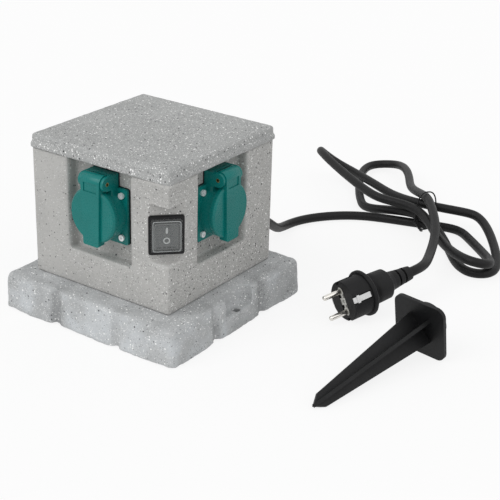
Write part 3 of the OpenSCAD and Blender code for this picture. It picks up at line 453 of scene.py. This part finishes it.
cord_rubber = moulded("cord_rubber", (0.0062, 0.0062, 0.0066), 0.5,
                      spec=0.24, vary=0.25, grain=600, depth=0.00007)
grey = moulded("grey_plastic", (0.5, 0.5, 0.47), 0.5)
white_paint = moulded("white_paint", (0.78, 0.8, 0.8), 0.5)
# Pale plastic of the tubes that paint highlights on the clear boot's edges
highlight_plastic = moulded("boot_highlight_plastic", (0.5, 0.52, 0.52), 0.25)
steel = moulded("steel", (0.62, 0.62, 0.62), 0.3, grain=500, metallic=1.0)
zinc = moulded("zinc", (0.93, 0.94, 0.95), 0.3, vary=0.05, grain=900, depth=0.00004, metallic=0.4)
nickel = moulded("nickel", (0.7, 0.68, 0.64), 0.2, vary=0.06, grain=400, depth=0.00001, metallic=1.0)
brass = moulded("brass", (0.66, 0.48, 0.2), 0.3, vary=0.1, grain=500, depth=0.00002, metallic=1.0)
boot = clear_plastic("clear_boot")

BY_SLOT = {
    "slab_stone": slab_stone, "wall_stone": wall_stone, "roof_stone": roof_stone, "green_plastic": green,
    "black_plastic": black, "spike_plastic": spike_black, "black_rubber": rubber, "clear_boot": boot,
    "grey_plastic": grey, "steel": steel, "nickel": nickel, "brass": brass,
}


def paint(piece, mat):
    if not piece.material_slots:
        piece.data.materials.append(mat)
    for place in piece.material_slots:
        place.material = mat


def dress(piece, mat, body):
    """A new piece's material, and the body it rides on."""
    paint(piece, mat)
    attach(piece, body)


for entry in frame["record"]["subparts"]:
    paint(cad[entry["node"]], BY_SLOT[entry["material_slot"]])
paint(cad["switch_rocker"], rocker_grey)
for number in SOCKETS:
    paint(cad["socket_%d_screws" % number], zinc)


# Stone pieces: the CAD shape with softened edges and an uneven surface
def fractal(p, scale, octaves):
    total = 0.0
    weight = 1.0
    for i in range(octaves):
        total += weight * noise.noise(p * scale * 2 ** i)
        weight *= 0.55
    return total


# The slab is true to the CAD shape up to the first of these, and fully rough from the second on
TRUE_TO = BODY_HALF + 0.0015
ROUGH_FROM = BODY_HALF + 0.008
ROUGH_DEPTH = 0.0007
WAVE_DEPTH = 0.0011
GRIT_DEPTH = 0.0004
# Joints between the slab's stones: place from the middle, half width, depth and how far they wander
JOINT_AT = 0.034
JOINT_HALF_W = 0.0065
JOINT_DEPTH = 0.0013
JOINT_WANDER = 0.002
# The peg holes and their recesses, in the slab's two sides at -X and +X
SIDE_X = SLAB_HALF - 0.0175
RECESS_HALF_W = 0.019
RECESS_EDGE = 0.004
PEG_HOLE_X = SLAB_HALF - 0.0065
PEG_HOLE_SHADE_R = 0.0036
# How much the slab's patches and joints change its colour, and how much painted shade darkens its peg
# holes
PATCH_TONE = 0.58
PATCH_START = 0.05
JOINT_TONE = 0.36
HOLE_PAINTED_SHADE = 0.9


def joint_near(p):
    """One on the joint between two of the slab's stones, nought away from it."""
    t = p.y if abs(p.x) > abs(p.y) else p.x
    off = abs(t + JOINT_WANDER * noise.noise(p * 30)) - JOINT_AT
    return math.exp(-(off / JOINT_HALF_W) ** 2)


def slab_depth(p):
    """How far the slab's surface lies behind the CAD shape: rough stones outside, true under the body."""
    free = fade(max(abs(p.x), abs(p.y)), TRUE_TO, ROUGH_FROM)
    waves = WAVE_DEPTH * fractal(p, scale=24, octaves=2)
    rough = ROUGH_DEPTH + waves + GRIT_DEPTH * fractal(p, scale=150, octaves=3)
    return free * max(0.0, rough + JOINT_DEPTH * joint_near(p))


def slab_tone_and_shade(p, normal):
    """Half for plain stone, more on the pale middles of the side faces, less in joints, and painted shade
    in the peg holes.
    """
    side = 1 - abs(normal.z)
    if abs(p.x) > SIDE_X:
        side *= fade(abs(p.y), RECESS_HALF_W, RECESS_HALF_W + RECESS_EDGE)
    patch = fade(fractal(p, scale=30, octaves=3), -0.25, 0.55)
    # Painted shade: the peg holes are darkened in colour
    hole_painted_shade = math.exp(-(math.hypot(abs(p.x) - PEG_HOLE_X, p.y) / PEG_HOLE_SHADE_R) ** 2)
    joint = joint_near(p) * (0.5 + 0.5 * side)
    return 0.5 + side * (PATCH_TONE * patch - PATCH_START) - JOINT_TONE * joint - HOLE_PAINTED_SHADE * hole_painted_shade


# The switch's corner in terms of x - y, which is greatest there: where it begins, and where it is full
CORNER_FROM = 0.114
CORNER_FULL = 0.138
# The mould's wavy steps: depth, height of each, wander, and where they begin
STEP_DEPTH = 0.0007
STEP_H = 0.0046
STEP_WANDER = 0.0016
STEPS_FROM = BODY_TOP - 0.030
STEPS_FULL = BODY_TOP - 0.022
# How far the wall swells out under the roof's lip, and from where
SWELL = 0.0019
SWELL_FROM = BODY_TOP - 0.012
SWELL_FULL = BODY_TOP - 0.0015
WALL_ROUGH = 0.00008
ROOF_ROUGH = 0.00012
ROOF_WAVE = 0.00016


def body_depth(p):
    """A nearly flat wall. The switch's corner has the mould's wavy steps and swells out to the roof."""
    rough = max(0.0, WALL_ROUGH + WALL_ROUGH * fractal(p, scale=90, octaves=3))
    corner = fade(p.x - p.y, CORNER_FROM, CORNER_FULL)
    steps = corner * fade(p.z, STEPS_FROM, STEPS_FULL)
    wave = 0.5 + 0.5 * math.sin(2 * math.pi * (p.z + STEP_WANDER * noise.noise(p * 50)) / STEP_H)
    rise = fade(p.z, SWELL_FROM, SWELL_FULL)
    return rough + STEP_DEPTH * steps * wave * (1 - rise) - SWELL * corner * rise * rise


def roof_depth(p):
    return max(0.0, ROOF_ROUGH + ROOF_WAVE * fractal(p, scale=110, octaves=3))


def stone_piece(node, voxel, softness, depth, mat, tone_and_shade=None):
    """A copy of the node in even small faces, its edges softened and its surface set back by depth."""
    piece = add_object(node + "_stone", cad[node].data.copy())
    remesh = piece.modifiers.new("remesh", "REMESH")
    remesh.mode = "VOXEL"
    remesh.voxel_size = voxel
    smooth = piece.modifiers.new("smooth", "SMOOTH")
    smooth.factor = 0.5
    smooth.iterations = softness
    seen = piece.evaluated_get(bpy.context.evaluated_depsgraph_get())
    mesh = bpy.data.meshes.new_from_object(seen)
    piece.modifiers.clear()
    piece.data = mesh
    normals = [v.normal.copy() for v in mesh.vertices]
    for v, normal in zip(mesh.vertices, normals):
        v.co -= normal * depth(v.co)
        v.co.z = max(v.co.z, 0.0)
    mesh.update()
    shade_smooth(mesh)
    if tone_and_shade:
        layer = mesh.attributes.new("tone_and_shade", "FLOAT", "POINT")
        tone_and_shade_values = [tone_and_shade(v.co, normal) for v, normal in zip(mesh.vertices, normals)]
        layer.data.foreach_set("value", tone_and_shade_values)
    mesh.materials.clear()
    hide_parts(node)
    dress(piece, mat, "block")


SLAB_VOXEL = 0.0014
WALL_VOXEL = 0.0013
stone_piece("base_slab", SLAB_VOXEL, 3, slab_depth, slab_stone, slab_tone_and_shade)
stone_piece("body_shell", WALL_VOXEL, 2, body_depth, wall_stone)
stone_piece("roof_cap", WALL_VOXEL, 2, roof_depth, roof_stone)

# Small round edges on the moulded pieces
EDGE_ROUND = 0.0003
EDGE_SEGMENTS = 2
EDGE_ANGLE = 38
WELD_WITHIN = 0.000002
ROUNDED = ["switch_frame", "ground_spike", "plug_body", "gland_body", "gland_cap"]
ROUNDED += ["socket_%d_%s" % (n, part) for n in SOCKETS for part in ("flap", "housing")]
for name in ROUNDED:
    weld = cad[name].modifiers.new("weld", "WELD")
    weld.merge_threshold = WELD_WITHIN
    edge = cad[name].modifiers.new("edge", "BEVEL")
    edge.width = EDGE_ROUND
    edge.segments = EDGE_SEGMENTS
    edge.limit_method = "ANGLE"
    edge.angle_limit = math.radians(EDGE_ANGLE)
    edge.use_clamp_overlap = True
    edge.harden_normals = False

# The cord, one piece from the gland to the plug
cord_path = cord_line()
cord = tube("mains_cord", cord_path, CORD_D / 2, sides=16, up=Vector((1, 0, 0)))
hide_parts("cord_lead", "cord_hank", "cord_tail")
dress(cord, cord_rubber, "block")

tie = tube("tie_wire", tie_line(), WIRE_R, sides=12, up=Vector((0, 0, 1)))
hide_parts("cord_tie")
dress(tie, black, "block")


# The switch, in a pocket across the block's corner. The sizes are those of the CAD source.
POCKET_CUT = 0.0156
POCKET_OUT = 2 ** 0.5 * BODY_HALF - POCKET_CUT
SWITCH_Z = 0.1031
PIVOT_BACK = 0.003
ROCKER_TILT = 8
POCKET = Matrix.Rotation(math.radians(45), 4, "Z") @ Matrix.Translation((0, -POCKET_OUT, SWITCH_Z))
PIVOT = POCKET @ Matrix.Translation((0, PIVOT_BACK, 0))
ROCKER = PIVOT @ Matrix.Rotation(math.radians(ROCKER_TILT), 4, "X")
# The rocker's hollow face, from its middle to its end: height along it, and distance from the pivot
ROCKER_FACE = [(0.0, 0.0054), (0.00565, 0.0059), (0.0113, 0.0072)]


def face_out(z):
    """How far the rocker's hollow face stands out from the pivot at this height."""
    for (z0, out0), (z1, out1) in zip(ROCKER_FACE, ROCKER_FACE[1:]):
        if abs(z) <= z1:
            return out0 + (out1 - out0) * (abs(z) - z0) / (z1 - z0)
    return ROCKER_FACE[-1][1]


def raised(inner, outer, height):
    """A thin figure between two rings, from just inside the rocker's face to this height above it."""
    count = len(inner)
    sunk = 0.0001
    points = []
    for lift in (-sunk, height):
        for x, z in inner + outer:
            points.append(ROCKER @ Vector((x, -face_out(z) - lift, z)))
    faces = []
    for k in range(count):
        n = (k + 1) % count
        for a in (0, 2 * count):
            faces.append((a + k, a + n, a + count + n, a + count + k))
        for a in (0, count):
            b = 2 * count + a
            faces.append((a + k, a + n, b + n, b + k))
    return points, faces


def oval_ring(x, z, half_w, half_h, sides, square=1.0):
    """An oval, or a rounded box where square is below one."""
    ring = []
    for k in range(sides):
        turn = 2 * math.pi * (k + 0.5) / sides
        out_x = half_w * signed_power(math.cos(turn), square)
        out_z = half_h * signed_power(math.sin(turn), square)
        ring.append((x + out_x, z + out_z))
    return ring


def bar(x, z, half_w, half_h):
    """Rings of a figure that is filled to its middle."""
    middle = 0.00002
    sides, square = 24, 0.4
    inner = oval_ring(x, z, middle, middle, sides, square)
    return inner, oval_ring(x, z, half_w, half_h, sides, square)


def marks(name, figures, height, mat):
    points = []
    faces = []
    for inner, outer in figures:
        more, their = raised(inner, outer, height)
        faces += [tuple(i + len(points) for i in face) for face in their]
        points += more
    mesh = mesh_from(name, points, faces)
    builder = bmesh.new()
    builder.from_mesh(mesh)
    bmesh.ops.recalc_face_normals(builder, faces=builder.faces)
    builder.to_mesh(mesh)
    builder.free()
    dress(add_object(name, mesh), mat, "rocker")


ON_MARK = bar(0, 0.0059, half_w=0.0009, half_h=0.0031)
OFF_MARK = [oval_ring(0, -0.0039, r, r, sides=40) for r in (0.0019, 0.0029)]
marks("rocker_marks", [ON_MARK, OFF_MARK], 0.00015, white_paint)

RIDGE_COUNT = 4
RIDGE_PITCH = 0.0042
RIDGE_Z = -0.0098
RIDGE_HALF_W = 0.0016
RIDGE_HALF_H = 0.00045
ridge_places = [RIDGE_PITCH * (i - (RIDGE_COUNT - 1) / 2) for i in range(RIDGE_COUNT)]
ridges = [bar(x, RIDGE_Z, RIDGE_HALF_W, RIDGE_HALF_H) for x in ridge_places]
marks("rocker_ridges", ridges, 0.0005, black)


# Painted highlights: pale tubes round the boot's leaning sides and round its flat top, standing in for
# its bright edges
def boot_highlight_loop(name, half_w, half_h, out, radius):
    steps = 96
    square = 0.12
    line = []
    for k in range(steps + 1):
        turn = 2 * math.pi * k / steps
        x = half_w * signed_power(math.cos(turn), square)
        z = half_h * signed_power(math.sin(turn), square)
        line.append(POCKET @ Vector((x, -out, z)))
    rim = tube(name, line, radius, sides=8, up=POCKET.to_3x3() @ Vector((0, 1, 0)))
    dress(rim, highlight_plastic, "block")


boot_highlight_loop("boot_foot_highlight", half_w=0.01155, half_h=0.01325, out=0.0050, radius=0.00026)
boot_highlight_loop("boot_top_highlight", half_w=0.0104, half_h=0.0121, out=0.0074, radius=0.0001)


# Sealing rings in the flaps' grooves, seen when a flap is open
FLANGE_RECESS = 0.008
SOCKET_Z = BODY_TOP - 0.043
SEAL_OUT = 0.01135
SEAL_R = 0.02165
SEAL_HALF_OUT = 0.00075
SEAL_HALF_W = 0.00115


def sealing_ring(number):
    name = "flap_%d_seal" % number
    turn = Matrix.Rotation(math.radians(90 * (number - 1)), 4, "Z")
    place = turn @ Matrix.Translation((0, FLANGE_RECESS - BODY_HALF, SOCKET_Z))
    around, sides = 96, 12
    points = []
    faces = []
    for i in range(around):
        a = 2 * math.pi * i / around
        j = (i + 1) % around
        for k in range(sides):
            b = 2 * math.pi * k / sides
            m = (k + 1) % sides
            r = SEAL_R + SEAL_HALF_W * math.cos(b)
            out = SEAL_OUT + SEAL_HALF_OUT * math.sin(b)
            points.append(place @ Vector((r * math.cos(a), -out, r * math.sin(a))))
            faces.append((i * sides + k, i * sides + m, j * sides + m, j * sides + k))
    mesh = mesh_from(name, points, faces)
    shade_smooth(mesh)
    dress(add_object(name, mesh), rubber, "flap_%d" % number)


for number in SOCKETS:
    sealing_ring(number)


# Floor, world and lamps. Rays that show a surface see the world white, and the floor nearly so.
FLOOR_HALF = 8
FLOOR_Z = -0.0001
FLOOR_GREY = 0.9
# Share of plain white that such rays see on the floor. The rest keeps the object's shadow.
FLOOR_LIFT = 0.85
WORLD_LIGHT = 0.62


def camera_sees(tree):
    """One for rays that show a surface as it is: camera, glossy and transmission rays."""
    path = tree.nodes.new("ShaderNodeLightPath")
    seen = calculate(tree, "MAXIMUM", path.outputs["Is Camera Ray"], path.outputs["Is Glossy Ray"])
    return calculate(tree, "MAXIMUM", seen, path.outputs["Is Transmission Ray"])


def make_floor():
    corners = [(x * FLOOR_HALF, y * FLOOR_HALF, 0) for x, y in ((-1, -1), (1, -1), (1, 1), (-1, 1))]
    floor = add_object("floor", mesh_from("floor", corners, [(0, 1, 2, 3)]))
    floor.location.z = FLOOR_Z
    mat = bpy.data.materials.new("floor_white")
    mat.use_nodes = True
    tree = mat.node_tree
    tree.nodes.clear()
    out = tree.nodes.new("ShaderNodeOutputMaterial")
    diffuse = tree.nodes.new("ShaderNodeBsdfDiffuse")
    diffuse.inputs["Color"].default_value = (FLOOR_GREY, FLOOR_GREY, FLOOR_GREY, 1)
    glow = tree.nodes.new("ShaderNodeEmission")
    glow.inputs["Color"].default_value = (1, 1, 1, 1)
    glow.inputs["Strength"].default_value = 1
    lifted = tree.nodes.new("ShaderNodeMixShader")
    tree.links.new(times(tree, camera_sees(tree), FLOOR_LIFT), lifted.inputs["Fac"])
    tree.links.new(diffuse.outputs["BSDF"], lifted.inputs[1])
    tree.links.new(glow.outputs["Emission"], lifted.inputs[2])
    tree.links.new(lifted.outputs["Shader"], out.inputs["Surface"])
    floor.data.materials.append(mat)


def make_world():
    world = bpy.data.worlds.new("studio")
    scene.world = world
    world.use_nodes = True
    tree = world.node_tree
    tree.nodes.clear()
    out = tree.nodes.new("ShaderNodeOutputWorld")
    sky = tree.nodes.new("ShaderNodeBackground")
    sky.inputs["Color"].default_value = (1, 1, 1, 1)
    strength = remap(tree, camera_sees(tree), 0, 1, WORLD_LIGHT, 1)
    tree.links.new(strength, sky.inputs["Strength"])
    tree.links.new(sky.outputs["Background"], out.inputs["Surface"])


def sun(name, toward, strength, spread):
    """A soft lamp far away, shining from this direction."""
    data = bpy.data.lights.new(name, "SUN")
    data.energy = strength
    data.angle = math.radians(spread)
    lamp = bpy.data.objects.new(name, data)
    scene.collection.objects.link(lamp)
    lamp.rotation_euler = Vector(toward).to_track_quat("Z", "Y").to_euler()


make_floor()
make_world()
sun("key", (-0.35, -0.78, 0.72), strength=1.05, spread=40)
sun("fill", (0.8, -0.2, 0.9), strength=0.42, spread=60)
scene.view_settings.view_transform = "Standard"
